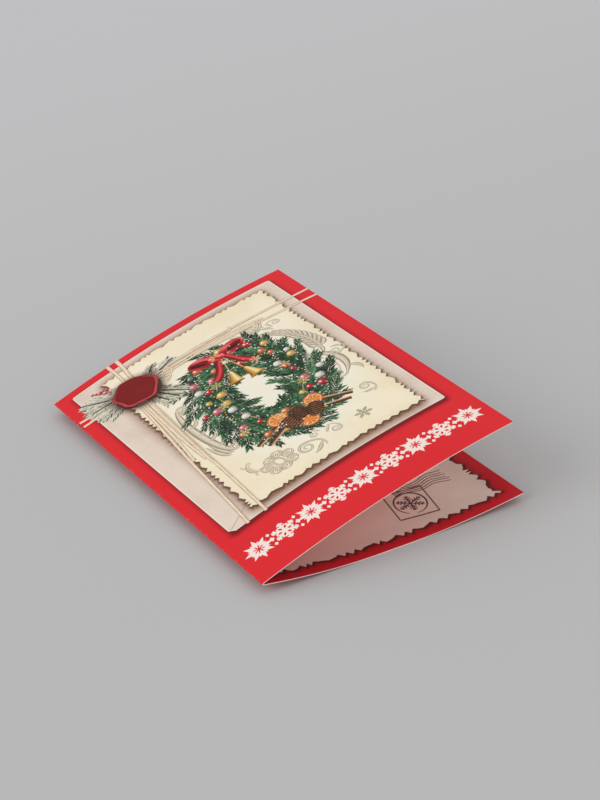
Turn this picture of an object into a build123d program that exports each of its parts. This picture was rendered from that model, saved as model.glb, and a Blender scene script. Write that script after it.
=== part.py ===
from build123d import *
import os
from math import radians

# Folded greeting card, lying on its back page and sprung a little open.
# All sizes are in millimetres and all angles in degrees.
# X runs from the fold to the fore edges, Y up the page, Z up.
# The origin is under the middle of the card, on the surface that it lies on.

# The sheet
card_thickness = 0.32
page_height = 182.0

# The cover, which bows upwards; widths are along the sheet's middle line, from the end of the fold's bend
cover_width = 117.5
cover_rise_at_fold = 21.6
cover_rise_at_fore_edge = 9.6

# The back page, in three stretches from the fold: it dips to the table, lies flat on it, and lifts off again
back_dip_width = 51.3
back_dip_at_fold = 10.2
rest_band_width = 12.0
back_lift_width = 54.2
back_lift_at_fore_edge = 8.7

# The scored fold: a tight bend, with the bead that the creasing rule pushes up along its inside
fold_inner_radius = 0.15
score_bead_radius = 0.12
score_bead_root_radius = 0.03


def arc_radius(length, turn):
    """Radius of an arc of this length whose direction turns by this many degrees."""
    return length / radians(turn)


# What follows from the sizes: each bowed stretch is an arc between its two end slopes
fold_turn = 180 - cover_rise_at_fold - back_dip_at_fold
cover_turn = cover_rise_at_fold - cover_rise_at_fore_edge
fold_middle_radius = fold_inner_radius + card_thickness / 2
cover_radius = arc_radius(cover_width, cover_turn)
back_dip_radius = arc_radius(back_dip_width, back_dip_at_fold)
back_lift_radius = arc_radius(back_lift_width, back_lift_at_fore_edge)


def draw_face_line(outward):
    """Draws one face of the sheet, at a distance outward of its middle line. The bend's centre is at the
    origin of the sketch. Returns its two ends: at the cover's fore edge and at the back page's."""
    fold_top = Vector(fold_middle_radius + outward, 0).rotate(Axis.Z, 90 + cover_rise_at_fold)
    along_cover = Vector(1, 0).rotate(Axis.Z, cover_rise_at_fold)
    cover = JernArc(fold_top, along_cover, cover_radius + outward, -cover_turn)
    bend = JernArc(fold_top, -along_cover, fold_middle_radius + outward, fold_turn)
    dip = JernArc(bend @ 1, bend % 1, back_dip_radius + outward, back_dip_at_fold)
    rest_band = Line(dip @ 1, dip @ 1 + Vector(rest_band_width, 0))
    lift = JernArc(rest_band @ 1, rest_band % 1, back_lift_radius + outward, back_lift_at_fore_edge)
    return cover @ 1, lift @ 1


# The outline of the section, seen from the near end, with the two fore edges cut square to the sheet
with BuildLine() as outline:
    outer_cover_edge, outer_back_edge = draw_face_line(card_thickness / 2)
    inner_cover_edge, inner_back_edge = draw_face_line(-card_thickness / 2)
    Line(outer_cover_edge, inner_cover_edge)
    Line(outer_back_edge, inner_back_edge)

# The section stands across the far end of the card, over the middle of what the card covers
covered = outline.line.bounding_box()
far_end = Plane(
    origin=(-covered.center().X, page_height / 2, -covered.min.Y),
    x_dir=(1, 0, 0),
    z_dir=(0, -1, 0),
)

with BuildPart() as folded_card:
    with BuildSketch(far_end) as section:
        add(outline.line)
        make_face()
        # The bead stands on the inside of the bend, with a small root radius on both sides
        bead_centre = (-fold_inner_radius, 0)
        with Locations(bead_centre):
            Circle(score_bead_radius)
        fillet(section.vertices().sort_by_distance(bead_centre)[:2], score_bead_root_radius)
    # The sheet runs straight up the page, and its ends are cut square, with sharp corners
    extrude(amount=page_height)

folded_card.part.label = "folded_card"
os.makedirs("parts", exist_ok=True)
export_step(folded_card.part, "parts/folded_card.step")

card = folded_card.part.bounding_box()
print(f"card: {card.size.X:.3f} x {card.size.Y:.3f} x {card.size.Z:.3f} mm, volume {folded_card.part.volume:.1f} mm3")
print(f"lowest {card.min.Z:.4f}, fold at x {card.min.X:.3f}, fore edge at x {card.max.X:.3f}")
print(f"bow radii: cover {cover_radius:.1f}, back {back_dip_radius:.1f} and {back_lift_radius:.1f}")
print(f"centre of gravity at x {folded_card.part.center(CenterOf.MASS).X:.2f}")
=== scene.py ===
# %% [markdown]
# A folded greeting card, made in Blender.
# The real card is one sheet of coated card. It is printed flat on both faces, scored down the middle,
# trimmed, and folded. Then it lies on a table and springs a little open, so both pages bow.
# This lesson follows the same order: a flat sheet, its print drawn flat in millimetres, and then one fold
# that takes the sheet and everything printed on it to its place.

# %% Load the fixed frame
import math
import random

import bmesh
import bpy
from mathutils import Matrix, Vector


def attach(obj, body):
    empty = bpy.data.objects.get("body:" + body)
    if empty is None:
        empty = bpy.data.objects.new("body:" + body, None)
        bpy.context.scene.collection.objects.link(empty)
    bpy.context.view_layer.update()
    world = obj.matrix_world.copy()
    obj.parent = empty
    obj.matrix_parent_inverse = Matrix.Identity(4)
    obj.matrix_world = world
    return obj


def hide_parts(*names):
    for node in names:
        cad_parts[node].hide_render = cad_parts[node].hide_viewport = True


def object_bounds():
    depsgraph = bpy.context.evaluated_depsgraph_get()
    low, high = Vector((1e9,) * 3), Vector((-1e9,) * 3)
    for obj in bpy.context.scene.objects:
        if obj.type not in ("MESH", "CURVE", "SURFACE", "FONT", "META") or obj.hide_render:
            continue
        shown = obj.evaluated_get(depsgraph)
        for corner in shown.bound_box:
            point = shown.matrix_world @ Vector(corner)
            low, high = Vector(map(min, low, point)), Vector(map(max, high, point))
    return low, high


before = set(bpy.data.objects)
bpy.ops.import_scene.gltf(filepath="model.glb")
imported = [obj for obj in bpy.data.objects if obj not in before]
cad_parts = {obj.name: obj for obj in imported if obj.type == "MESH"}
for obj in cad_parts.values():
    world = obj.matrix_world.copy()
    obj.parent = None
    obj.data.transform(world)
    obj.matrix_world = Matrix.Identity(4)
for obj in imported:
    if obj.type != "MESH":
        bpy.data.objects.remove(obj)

CAD_BOX = [list(corner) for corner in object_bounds()]
print("frame holds", sorted(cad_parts), "in the box", CAD_BOX)

# %% [markdown]
# The sizes of the sheet. They are the real ones, and the widths run along the sheet's middle line. The
# cover rises from the fold and bows over. The back page dips to the table, lies on it along a narrow band,
# and lifts off again. They stand together here so that every later step reads the same few values.

# %% Sizes of the sheet
MM = 0.001
CARD_THICKNESS = 0.32 * MM
COVER_WIDTH = 117.5 * MM
COVER_RISE_AT_FOLD = math.radians(21.6)
COVER_RISE_AT_FORE_EDGE = math.radians(9.6)
BACK_DIP_WIDTH = 51.3 * MM
BACK_DIP_AT_FOLD = math.radians(10.2)
REST_BAND_WIDTH = 12.0 * MM
BACK_LIFT_WIDTH = 54.2 * MM
BACK_LIFT_AT_FORE_EDGE = math.radians(8.7)
FOLD_INNER_RADIUS = 0.15 * MM
SCORE_BEAD_RADIUS = 0.12 * MM

BOTTOM = CAD_BOX[0][1]
TOP = CAD_BOX[1][1]
PAGE_HEIGHT = TOP - BOTTOM
FACE = CARD_THICKNESS / 2
FOLD_MIDDLE_RADIUS = FOLD_INNER_RADIUS + FACE
FOLD_TURN = math.pi - COVER_RISE_AT_FOLD - BACK_DIP_AT_FOLD
HALF_BEND = FOLD_MIDDLE_RADIUS * FOLD_TURN / 2
BACK_STRETCHES = (
    (BACK_DIP_WIDTH, BACK_DIP_AT_FOLD),
    (REST_BAND_WIDTH, 0.0),
    (BACK_LIFT_WIDTH, BACK_LIFT_AT_FORE_EDGE),
)
BACK_WIDTH = sum(width for width, turn in BACK_STRETCHES)
print(f"page {PAGE_HEIGHT / MM:.1f} mm high, {(COVER_WIDTH + HALF_BEND) / MM:.2f} mm wide")

# %% [markdown]
# The fold. A place on the flat sheet is how far it lies from the fold line (towards the cover is
# positive), how high up the page it is, and how far out of the sheet's middle it stands. An armature or a
# Simple Deform modifier could bend the sheet, but neither makes a tight scored bend with two bowed pages
# of known size, so a short function walks along the section instead. Everything printed uses it too.

# %% Fold a place on the flat sheet
NEARLY_STRAIGHT = 1e-9


def polar(angle, length):
    return Vector((math.cos(angle), math.sin(angle))) * length


def along_arc(start, direction, length, turn):
    """The end of a line that turns evenly over its length, and the direction that it has there."""
    ahead = direction + turn
    if abs(turn) < NEARLY_STRAIGHT:
        return start + polar(direction, length), ahead
    sideways = Vector((math.sin(ahead) - math.sin(direction), math.cos(direction) - math.cos(ahead)))
    return start + sideways * (length / turn), ahead


COVER_ANGLE = math.pi / 2 + COVER_RISE_AT_FOLD
BACK_ANGLE = COVER_ANGLE + FOLD_TURN
BACK_DIP_DEPTH = BACK_DIP_WIDTH / BACK_DIP_AT_FOLD * (1 - math.cos(BACK_DIP_AT_FOLD))
FOLD_X = CAD_BOX[0][0] + FOLD_INNER_RADIUS + CARD_THICKNESS
FOLD_Z = FACE + BACK_DIP_DEPTH + FOLD_MIDDLE_RADIUS * math.cos(BACK_DIP_AT_FOLD)


def angle_in_bend(along):
    return (COVER_ANGLE + BACK_ANGLE) / 2 - along / FOLD_MIDDLE_RADIUS


def fold_sheet(along, up, outward):
    """Takes a place on the flat sheet to its place on the folded card."""
    if abs(along) <= HALF_BEND:
        place = polar(angle_in_bend(along), FOLD_MIDDLE_RADIUS + outward)
    elif along > 0:
        reach = along - HALF_BEND
        turn = (COVER_RISE_AT_FORE_EDGE - COVER_RISE_AT_FOLD) * reach / COVER_WIDTH
        place, slope = along_arc(polar(COVER_ANGLE, FOLD_MIDDLE_RADIUS), COVER_RISE_AT_FOLD, reach, turn)
        place += Vector((-math.sin(slope), math.cos(slope))) * outward
    else:
        reach = -along - HALF_BEND
        place, slope = polar(BACK_ANGLE, FOLD_MIDDLE_RADIUS), -BACK_DIP_AT_FOLD
        for width, turn in BACK_STRETCHES:
            step = min(reach, width)
            place, slope = along_arc(place, slope, step, turn * step / width)
            reach -= step
        place += Vector((math.sin(slope), -math.cos(slope))) * outward
    return Vector((FOLD_X + place.x, up, FOLD_Z + place.y))


fore_edge = fold_sheet(HALF_BEND + COVER_WIDTH, BOTTOM, FACE)
print(f"the cover's near corner is at {[round(v / MM, 2) for v in fore_edge]} mm")

# %% [markdown]
# The sheet itself. It starts as a cube squashed to the flat sheet. Cuts across it give the bows and the
# bend enough facets to look round, close together only in the bend. While it is flat, each face knows
# whether it is an outside, an inside or a cut edge, and each vertex keeps its place on the page in
# millimetres in an attribute called page. The print reads that, so it bends with the paper.

# %% Helpers that cut a flat sheet
OUTSIDE, INSIDE, EDGE = range(3)
BOW_CUTS, BEND_CUTS, HEIGHT_CUTS = 48, 28, 12
CUT_TOLERANCE = 1e-7
SHARP_ANGLE = 1.0


def evenly(low, high, count):
    return [low + (high - low) * i / count for i in range(count + 1)]


def page_layer(flat):
    return flat.verts.layers.float_vector.get("page") or flat.verts.layers.float_vector.new("page")


def cut_across(flat, places, normal):
    """Cuts all of a flat mesh at each of the places along the normal's direction."""
    for place in places:
        everything = flat.verts[:] + flat.edges[:] + flat.faces[:]
        where = Vector(normal) * place
        bmesh.ops.bisect_plane(flat, geom=everything, dist=CUT_TOLERANCE, plane_co=where, plane_no=normal)


def bead_height(along):
    """How far the crease's bead stands inwards of the bend's inner face."""
    angle = angle_in_bend(along) - math.pi
    across = FOLD_INNER_RADIUS * math.sin(angle)
    if abs(along) > HALF_BEND or abs(across) > SCORE_BEAD_RADIUS:
        return 0.0
    root = math.sqrt(SCORE_BEAD_RADIUS**2 - across**2)
    return FOLD_INNER_RADIUS - (FOLD_INNER_RADIUS * math.cos(angle) - root)


def as_mesh(shape, name):
    """Ends a bmesh and hands back its mesh."""
    mesh = bpy.data.meshes.new(name)
    shape.to_mesh(mesh)
    shape.free()
    return mesh


def put_in_scene(name, data):
    thing = bpy.data.objects.new(name, data)
    bpy.context.scene.collection.objects.link(thing)
    return thing


# %% Cut and fold the sheet
flat = bmesh.new()
sheet_low, sheet_high = -HALF_BEND - BACK_WIDTH, HALF_BEND + COVER_WIDTH
bmesh.ops.create_cube(flat, size=1)
bmesh.ops.scale(flat, vec=(sheet_high - sheet_low, PAGE_HEIGHT, CARD_THICKNESS), verts=flat.verts)
middle = Vector(((sheet_low + sheet_high) / 2, (TOP + BOTTOM) / 2, 0))
bmesh.ops.translate(flat, vec=middle, verts=flat.verts)
cut_across(flat, evenly(HALF_BEND, sheet_high, BOW_CUTS)[:-1], (1, 0, 0))
cut_across(flat, evenly(-HALF_BEND, HALF_BEND, BEND_CUTS)[:-1], (1, 0, 0))
cut_across(flat, evenly(sheet_low, -HALF_BEND, BOW_CUTS)[1:-1], (1, 0, 0))
cut_across(flat, evenly(BOTTOM, TOP, HEIGHT_CUTS)[1:-1], (0, 1, 0))
page = page_layer(flat)
for face in flat.faces:
    facing = face.normal.z
    face.material_index = OUTSIDE if facing > 0.5 else INSIDE if facing < -0.5 else EDGE
    face.smooth = True
for edge in flat.edges:
    one_side = len({face.material_index for face in edge.link_faces}) == 1
    edge.smooth = one_side and edge.calc_face_angle() < SHARP_ANGLE
for vert in flat.verts:
    along, up, outward = vert.co
    vert[page] = Vector((along, up - BOTTOM, 0)) / MM
    if outward < 0:
        outward -= bead_height(along)
    vert.co = fold_sheet(along, up, outward)
sheet_mesh = as_mesh(flat, "card_sheet")
card_sheet = put_in_scene("card_sheet", sheet_mesh)
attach(card_sheet, "root")
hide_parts("folded_card")
print("sheet:", len(sheet_mesh.vertices), "vertices,", len(sheet_mesh.polygons), "faces")

# %% [markdown]
# Small helpers for shader nodes. A print is many layers of flat colour with masks, which is a long list
# of nodes. Each helper adds one node, feeds it with values or with other nodes' outputs, and hands back
# its output, so a material reads like arithmetic. An output knows the node tree that it belongs to, and a
# new node goes into the same tree.

# %% Node helpers
def feed(socket, value):
    """Links an output to a socket, or sets the socket's own value."""
    if isinstance(value, bpy.types.NodeSocket):
        socket.id_data.links.new(value, socket)
    elif socket.type == "RGBA" and len(value) == 3:
        socket.default_value = (*value, 1)
    else:
        socket.default_value = value


def tree_of(*values):
    """The node tree that holds the outputs among these values."""
    return next(value.id_data for value in values if isinstance(value, bpy.types.NodeSocket))


def add_node(kind, *values, **settings):
    """Adds a node to its values' tree, with its settings, and feeds it with the values in order."""
    node = tree_of(*values).nodes.new(kind)
    for name, setting in settings.items():
        setattr(node, name, setting)
    for socket, value in zip(node.inputs, values):
        feed(socket, value)
    return node


def calc(operation, first, second=0.0, clamp=False):
    return add_node("ShaderNodeMath", first, second, operation=operation, use_clamp=clamp).outputs[0]


def plus(first, second):
    return calc("ADD", first, second)


def minus(first, second):
    return calc("SUBTRACT", first, second)


def times(first, second):
    return calc("MULTIPLY", first, second)


def vector_calc(operation, first, second=(0, 0, 0)):
    output = "Value" if operation in ("LENGTH", "DISTANCE", "DOT_PRODUCT") else "Vector"
    return add_node("ShaderNodeVectorMath", first, second, operation=operation).outputs[output]


def scaled(vector, factor):
    node = add_node("ShaderNodeVectorMath", vector, operation="SCALE")
    feed(node.inputs["Scale"], factor)
    return node.outputs["Vector"]


def parts_of(vector):
    return tuple(add_node("ShaderNodeSeparateXYZ", vector).outputs)


def joined(x, y, z=0.0):
    return add_node("ShaderNodeCombineXYZ", x, y, z).outputs[0]


def step_between(value, low, high):
    """0 below low and 1 above high, with a smooth change between."""
    node = add_node("ShaderNodeMapRange", value, low, high, 0.0, 1.0, interpolation_type="SMOOTHSTEP")
    return node.outputs[0]


def fade_between(value, low, high):
    """1 below low and 0 above high, with a smooth change between."""
    return minus(1.0, step_between(value, low, high))


def mix(factor, below, above, blend="MIX"):
    node = tree_of(factor, below, above).nodes.new("ShaderNodeMix")
    node.data_type = "RGBA"
    node.blend_type = blend
    for index, value in ((0, factor), (6, below), (7, above)):
        feed(node.inputs[index], value)
    return node.outputs[2]


def noise(vector, scale, detail=3.0):
    node = add_node("ShaderNodeTexNoise", vector)
    node.inputs["Scale"].default_value = scale
    node.inputs["Detail"].default_value = detail
    return node.outputs["Fac"]


def srgb(red, green, blue):
    """A colour as an eye reads it, from 0 to 255, to the linear numbers that shaders use."""
    parts = (red, green, blue)
    return tuple(((c / 255 + 0.055) / 1.055) ** 2.4 if c > 10 else c / 255 / 12.92 for c in parts)


def ramp(value, *stops, hard=False):
    """A colour ramp from (place, red, green, blue) stops. A hard one steps from colour to colour."""
    node = add_node("ShaderNodeValToRGB", value)
    node.color_ramp.interpolation = "CONSTANT" if hard else "LINEAR"
    elements = node.color_ramp.elements
    elements[0].position, elements[1].position = stops[0][0], stops[-1][0]
    for place, *colour in stops[1:-1]:
        elements.new(place)
    for element, (place, *colour) in zip(elements, stops):
        element.color = (*srgb(*colour), 1)
    return node.outputs[0]


def attribute(tree, name):
    node = tree.nodes.new("ShaderNodeAttribute")
    node.attribute_name = name
    return node.outputs["Vector"]


# %% [markdown]
# Node groups. The same few printed effects come back on the cover, on the inside and on the small
# ornaments: a rectangle with straight or deckled sides, a soft drop shadow, old mottled paper, and the
# varnished card's fine grain. Each is a group with named inputs, built once.

# %% Helpers that start and place a group
VECTOR, NUMBER, COLOUR = "NodeSocketVector", "NodeSocketFloat", "NodeSocketColor"


def new_group(name, inputs, outputs):
    """An empty node group, the sockets that its nodes may read, and the sockets that they feed."""
    group = bpy.data.node_groups.new(name, "ShaderNodeTree")
    for in_out, sockets in (("INPUT", inputs), ("OUTPUT", outputs)):
        for label, kind in sockets.items():
            group.interface.new_socket(name=label, in_out=in_out, socket_type=kind)
    return group, group.nodes.new("NodeGroupInput").outputs, group.nodes.new("NodeGroupOutput").inputs


def use_group(group, **values):
    """Places a group and feeds it. A value's name is its socket's name, with _ for a space."""
    node = tree_of(*values.values()).nodes.new("ShaderNodeGroup")
    node.node_tree = group
    for name, value in values.items():
        feed(node.inputs[name.replace("_", " ")], value)
    return node.outputs


# %% A panel's distance, with straight or deckled sides
PANEL, given, result = new_group(
    "panel_distance",
    {
        "Point": VECTOR, "Centre": VECTOR, "Half Size": VECTOR,
        "Corner": NUMBER, "Pitch": NUMBER, "Depth": NUMBER,
    },
    {"Distance": NUMBER, "Plain": NUMBER},
)
# How far the point is from a rectangle with round corners
from_centre = vector_calc("SUBTRACT", given["Point"], given["Centre"])
overhang = vector_calc("SUBTRACT", vector_calc("ABSOLUTE", from_centre), given["Half Size"])
over_x, over_y, _ = parts_of(overhang)
round_x = calc("MAXIMUM", plus(over_x, given["Corner"]), 0.0)
round_y = calc("MAXIMUM", plus(over_y, given["Corner"]), 0.0)
beyond = vector_calc("LENGTH", joined(round_x, round_y))
deeper = calc("MINIMUM", plus(calc("MAXIMUM", over_x, over_y), given["Corner"]), 0.0)
plain_distance = minus(plus(beyond, deeper), given["Corner"])
# Where the point is along its side. Each side reads a row of the noise of its own, so no two tear alike.
SIDE_ROW, END_ROW = 40.0, 90.0
centre_x, centre_y, _ = parts_of(from_centre)
side_run = joined(centre_y, times(calc("SIGN", centre_x), SIDE_ROW))
end_run = joined(centre_x, times(calc("SIGN", centre_y), END_ROW))
edge_place = mix(calc("GREATER_THAN", over_x, over_y), end_run, side_run)
run = parts_of(edge_place)[0]
# Teeth whose pitch drifts, with wider tears and finer nibbles
DRIFT, TORN_SHARE, NIBBLE_SHARE = 3.0, 0.5, 0.45
drift = times(noise(edge_place, 0.09, 1.0), DRIFT)
tooth_place = plus(calc("DIVIDE", run, given["Pitch"]), drift)
tooth = times(calc("PINGPONG", tooth_place, 0.5), 2.0)
torn = minus(noise(edge_place, 0.14, 1.0), 0.5)
nibble = minus(noise(edge_place, 0.75, 2.0), 0.5)
bite = minus(0.5, tooth)
bite = plus(bite, times(torn, TORN_SHARE))
bite = plus(bite, times(nibble, NIBBLE_SHARE))
bite = times(bite, given["Depth"])
feed(result["Distance"], plus(plain_distance, bite))
feed(result["Plain"], plain_distance)
print(f"{PANEL.name}: {len(PANEL.nodes)} nodes")

# %% A soft shadow under a printed panel
SHADOW, given, result = new_group(
    "soft_shadow", {"Distance": NUMBER, "Reach": NUMBER, "Strength": NUMBER}, {"Shade": NUMBER}
)
SOFTNESS = 1.8
fading = calc("DIVIDE", given["Distance"], given["Reach"], clamp=True)
left_over = calc("POWER", minus(1.0, fading), SOFTNESS)
feed(result["Shade"], times(left_over, given["Strength"]))
print(f"{SHADOW.name}: {len(SHADOW.nodes)} nodes")

# %% Old paper, mottled
PAPER, given, result = new_group(
    "old_paper", {"Point": VECTOR, "Light": COLOUR, "Dark": COLOUR, "Amount": NUMBER}, {"Color": COLOUR}
)
cloud = noise(given["Point"], 0.045, 4.0)
speck = noise(given["Point"], 0.6, 3.0)
mottle = plus(times(cloud, 0.75), times(speck, 0.25))
stain = step_between(mottle, 0.38, 0.68)
feed(result["Color"], mix(times(stain, given["Amount"]), given["Light"], given["Dark"]))
print(f"{PAPER.name}: {len(PAPER.nodes)} nodes")

# %% Varnished card: the grain under the varnish and its uneven gloss
VARNISH, given, result = new_group(
    "varnished_card", {"Point": VECTOR, "Gloss": NUMBER}, {"Roughness": NUMBER, "Normal": VECTOR}
)
GRAIN_HEIGHT = 0.02 * MM
grain = noise(given["Point"], 9.0, 3.0)
waviness = noise(given["Point"], 0.09, 2.0)
roughness = plus(given["Gloss"], times(minus(waviness, 0.5), 0.12))
feed(result["Roughness"], plus(roughness, times(grain, 0.05)))
bump = VARNISH.nodes.new("ShaderNodeBump")
bump.inputs["Strength"].default_value = 0.06
bump.inputs["Distance"].default_value = GRAIN_HEIGHT
feed(bump.inputs["Height"], grain)
feed(result["Normal"], bump.outputs[0])
print(f"{VARNISH.name}: {len(VARNISH.nodes)} nodes")

# %% A straight line's distance
LINE, given, result = new_group(
    "line_distance", {"Point": VECTOR, "From": VECTOR, "To": VECTOR}, {"Distance": NUMBER}
)
run = vector_calc("SUBTRACT", given["To"], given["From"])
away = vector_calc("SUBTRACT", given["Point"], given["From"])
along_run = vector_calc("DOT_PRODUCT", away, run)
share = calc("DIVIDE", along_run, vector_calc("DOT_PRODUCT", run, run), clamp=True)
feed(result["Distance"], vector_calc("LENGTH", vector_calc("SUBTRACT", away, scaled(run, share))))
print(f"{LINE.name}: {len(LINE.nodes)} nodes")

# %% [markdown]
# Every printed colour ends in the same shader: ink under a satin varnish. The Principled BSDF stands in
# each material itself, and the varnish group gives it the roughness and the normal.

# %% A printed material
GLOSS = 0.5
SPECULAR = 0.16


def new_material(name):
    """A new material and the inputs of its shader."""
    material = bpy.data.materials.new(name)
    material.use_nodes = True
    return material, material.node_tree.nodes["Principled BSDF"].inputs


def printed_material(name, gloss=GLOSS):
    """A new material with the varnish in place, the place on the page, and the socket for its colour."""
    material, shader = new_material(name)
    shader["Specular IOR Level"].default_value = SPECULAR
    point = attribute(material.node_tree, "page")
    varnish = use_group(VARNISH, Point=point, Gloss=gloss)
    feed(shader["Roughness"], varnish["Roughness"])
    feed(shader["Normal"], varnish["Normal"])
    return material, point, shader["Base Color"]


def own_parts(point):
    """A piece's own place along and across its shape, and its shade."""
    return parts_of(attribute(point.id_data, "own"))


# %% [markdown]
# The layout of the cover, in millimetres from the fold and from the bottom of the page: a red ground, a
# mat of old paper, a deckled cream panel on it, cords that cross under a wax seal, a wreath, and a row of
# ornaments. Every later cell reads its places and colours here, so that a print and its shadow agree.

# %% Layout of the print
RED = srgb(232, 40, 48)
DEEP_RED = srgb(220, 34, 42)
MAT_LIGHT = srgb(236, 218, 201)
MAT_DARK = srgb(223, 204, 187)
CREAM_LIGHT = srgb(247, 243, 226)
CREAM = srgb(252, 240, 212)
CREAM_DARK = srgb(241, 221, 182)
SHADOW_ON_RED = srgb(92, 4, 10)
INSIDE_RED = srgb(214, 14, 32)
SHADOW_ON_PAPER = srgb(92, 62, 46)
WARM_SHADOW = srgb(132, 76, 36)
CUT_PAPER = srgb(255, 234, 230)

# The two papers' centres, half sizes, and the radii of their corners
MAT_CENTRE, MAT_HALF, MAT_CORNER = (58.4, 106.2, 0), (51.5, 71.0, 1), 1.2
PANEL_CENTRE, PANEL_HALF, PANEL_CORNER = (61.9, 106.8, 0), (41.2, 65.5, 1), 0.4
SEAL_CENTRE = Vector((28.3, 153.8))
SEAL_RADIUS = 10.5
CORDS = (
    ((28.1, 182.0), (27.6, 156.0), 1.6),
    ((32.8, 182.0), (30.9, 156.0), 1.9),
    ((24.6, 152.0), (14.8, 34.4), 1.4),
    ((28.6, 152.0), (23.4, 34.4), 1.4),
    ((0.0, 158.3), (26.0, 155.6), 1.5),
    ((0.0, 154.2), (26.0, 153.0), 1.5),
    ((30.0, 156.6), (117.8, 156.0), 1.4),
    ((30.0, 153.6), (117.8, 148.6), 1.4),
)
WREATH_CENTRE = Vector((63.5, 105.5))
WREATH_RADII = Vector((20.0, 31.0))
# A deckled edge: how far apart its teeth stand, and how deep they bite
DECKLE = {"pitch": 4.2, "depth": 1.5}
print(f"mat {2 * MAT_HALF[0]} x {2 * MAT_HALF[1]} mm, panel {2 * PANEL_HALF[0]} x {2 * PANEL_HALF[1]} mm")

# %% [markdown]
# The outside of the sheet. The cover's large fields are masks from distances: inside a panel the distance
# is below zero. Each panel is laid over its own soft shadow. The cords and the seal are thin printed
# pieces of their own, but the shadows that they seem to throw belong to this ground.

# %% Masks for a panel and its shadow
def panel_distances(point, centre, half, corner, pitch=1.0, depth=0.0):
    sizes = {"Centre": centre, "Half_Size": half, "Corner": corner, "Pitch": pitch, "Depth": depth}
    return use_group(PANEL, Point=point, **sizes)


def inside_of(distance, soft=0.06):
    return fade_between(distance, -soft, soft)


def shadow_mask(point, centre, half, corner, shift, reach, strength, pitch=1.0, depth=0.0):
    moved = vector_calc("ADD", point, (-shift[0], -shift[1], 0))
    distance = panel_distances(moved, centre, half, corner, pitch, depth)["Distance"]
    return use_group(SHADOW, Distance=distance, Reach=reach, Strength=strength)["Shade"]


# %% Outside print: the red ground, cracked along the fold
outside_print, point, colour_socket = printed_material("outside_print")
red_ground = mix(noise(point, 0.02, 2.0), RED, DEEP_RED)
crack = times(step_between(noise(point, 2.2, 4.0), 0.58, 0.68), 0.35)
by_fold = fade_between(calc("ABSOLUTE", parts_of(point)[0]), 0.2, 0.75)
red_ground = mix(times(crack, by_fold), red_ground, CUT_PAPER)
mat_shadow = shadow_mask(
    point, MAT_CENTRE, (51.1, 71.1, 1), corner=1.5, shift=(0.0, -1.7), reach=3.4, strength=0.82
)
colour = mix(mat_shadow, red_ground, SHADOW_ON_RED)

# %% Outside print: the mat, with its clipped corner, its crease and its pale lip
mat_distance = panel_distances(point, MAT_CENTRE, MAT_HALF, MAT_CORNER)["Distance"]
CLIP_PLACE, CLIP_WAY = (7.0, 37.4, 0), (0.68, 0.73, 0)
past_cut = vector_calc("DOT_PRODUCT", vector_calc("SUBTRACT", CLIP_PLACE, point), CLIP_WAY)
mat_distance = calc("MAXIMUM", mat_distance, past_cut)
mat_cover = inside_of(mat_distance)
mat_paper = use_group(PAPER, Point=point, Light=MAT_LIGHT, Dark=MAT_DARK, Amount=0.9)["Color"]
crease = use_group(LINE, Point=point, From=(7.3, 36.6, 0), To=(20.8, 45.4, 0))["Distance"]
crease_shade = times(fade_between(crease, 0.05, 0.5), 0.35)
mat_paper = mix(crease_shade, mat_paper, SHADOW_ON_PAPER)
mat_lip = times(step_between(mat_distance, -0.7, -0.3), 0.6)
mat_paper = mix(mat_lip, mat_paper, CREAM_LIGHT)
far_shadow = shadow_mask(
    point, PANEL_CENTRE, (40.6, 66.1, 1), corner=2.0, shift=(-0.8, -1.6), reach=6.4, strength=0.82
)
near_shadow = shadow_mask(
    point, PANEL_CENTRE, PANEL_HALF, PANEL_CORNER, shift=(-0.2, -0.8), reach=2.1, strength=0.9, **DECKLE
)
mat_paper = mix(far_shadow, mat_paper, WARM_SHADOW)
mat_paper = mix(near_shadow, mat_paper, SHADOW_ON_PAPER)
colour = mix(mat_cover, colour, mat_paper)

# %% Outside print: the deckled panel, lighter in its middle and dark under the wreath
panel = panel_distances(point, PANEL_CENTRE, PANEL_HALF, PANEL_CORNER, **DECKLE)
panel_cover = inside_of(panel["Distance"])
panel_paper = use_group(PAPER, Point=point, Light=CREAM, Dark=CREAM_DARK, Amount=0.6)["Color"]
off_centre = vector_calc("SUBTRACT", point, (*WREATH_CENTRE, 0))
glow_place = vector_calc("LENGTH", vector_calc("MULTIPLY", off_centre, (1 / 48, 1 / 68, 0)))
glow = fade_between(glow_place, 0.5, 1.0)
panel_paper = mix(times(glow, 0.85), panel_paper, CREAM_LIGHT)
# Printed browning: the panel darker towards its edges.
edge_darkening = times(step_between(panel["Plain"], -5.0, 1.0), 0.3)
panel_paper = mix(edge_darkening, panel_paper, CREAM_DARK)
rim = times(step_between(panel["Distance"], -0.3, 0.0), 0.5)
panel_paper = mix(rim, panel_paper, SHADOW_ON_PAPER)
wreath_place = vector_calc("DIVIDE", off_centre, (*WREATH_RADII, 1))
off_ring = calc("ABSOLUTE", minus(vector_calc("LENGTH", wreath_place), 1.0))
ring_shade = times(fade_between(off_ring, 0.14, 0.38), 0.97)
panel_paper = mix(ring_shade, panel_paper, srgb(26, 42, 30))
colour = mix(panel_cover, colour, panel_paper)

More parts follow.
